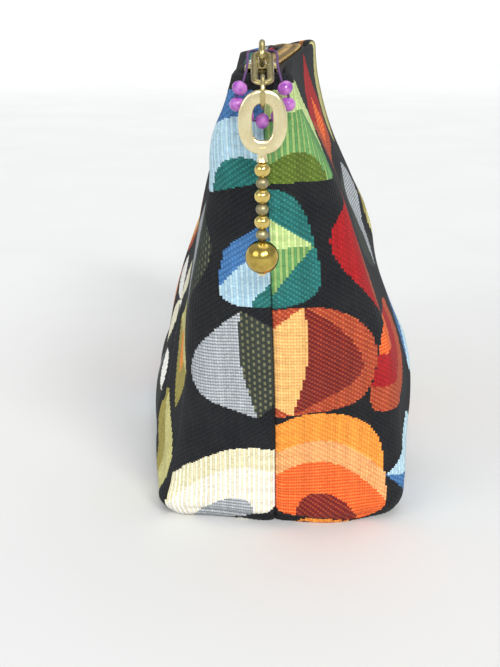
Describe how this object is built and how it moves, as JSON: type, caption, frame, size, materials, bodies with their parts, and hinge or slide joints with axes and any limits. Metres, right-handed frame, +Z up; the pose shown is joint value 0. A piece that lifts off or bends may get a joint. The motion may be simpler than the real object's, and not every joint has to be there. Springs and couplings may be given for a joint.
{
  "type": "tapestry zip purse",
  "caption": "Small boxed-corner purse of ribbed tapestry cloth, hollow, closed by a brass zip, with a bead loop and a gold oval-ring drop on the zip pull.",
  "frame": {"origin": "centre of the flat underside of the bag", "axes": "+X along the zip towards the end with the pull, +Y towards the back, +Z up"},
  "size_m": [0.1985, 0.0737, 0.1197],
  "materials": {
    "tapestry": "ribbed jacquard tapestry in many colours on black",
    "zip_tape": "woven herringbone tape",
    "brass": "aged brass",
    "gold_plate": "polished pale gold plate",
    "dull_brass": "dull antique brass",
    "purple_glass": "clear purple glass",
    "thread": "twisted thread"
  },
  "bodies": {
    "bag": {"tapestry_body": "tapestry", "zip_tape_front": "zip_tape", "zip_tape_back": "zip_tape", "zip_teeth_front": "brass", "zip_teeth_back": "brass", "zip_slider": "brass", "puller_link": "brass", "jump_ring": "brass", "bead_thread": "thread", "glass_bead_1": "purple_glass", "glass_bead_2": "purple_glass", "glass_bead_3": "purple_glass", "glass_bead_4": "purple_glass", "glass_bead_5": "purple_glass", "glass_bead_6": "purple_glass", "glass_bead_7": "purple_glass"},
    "pendant": {"oval_ring": "gold_plate", "stem_bead_1": "gold_plate", "stem_bead_2": "dull_brass", "stem_bead_3": "gold_plate", "stem_bead_4": "dull_brass", "stem_bead_5": "gold_plate", "stem_bead_6": "dull_brass", "drop_ball": "gold_plate"}
  },
  "joints": [
    {"name": "pendant_swing", "type": "hinge", "parent": "bag", "child": "pendant", "pos_m": [0.1005, -0.0055, 0.109], "axis": [0, -1, 0], "range_deg": [-8, 75]}
  ]
}
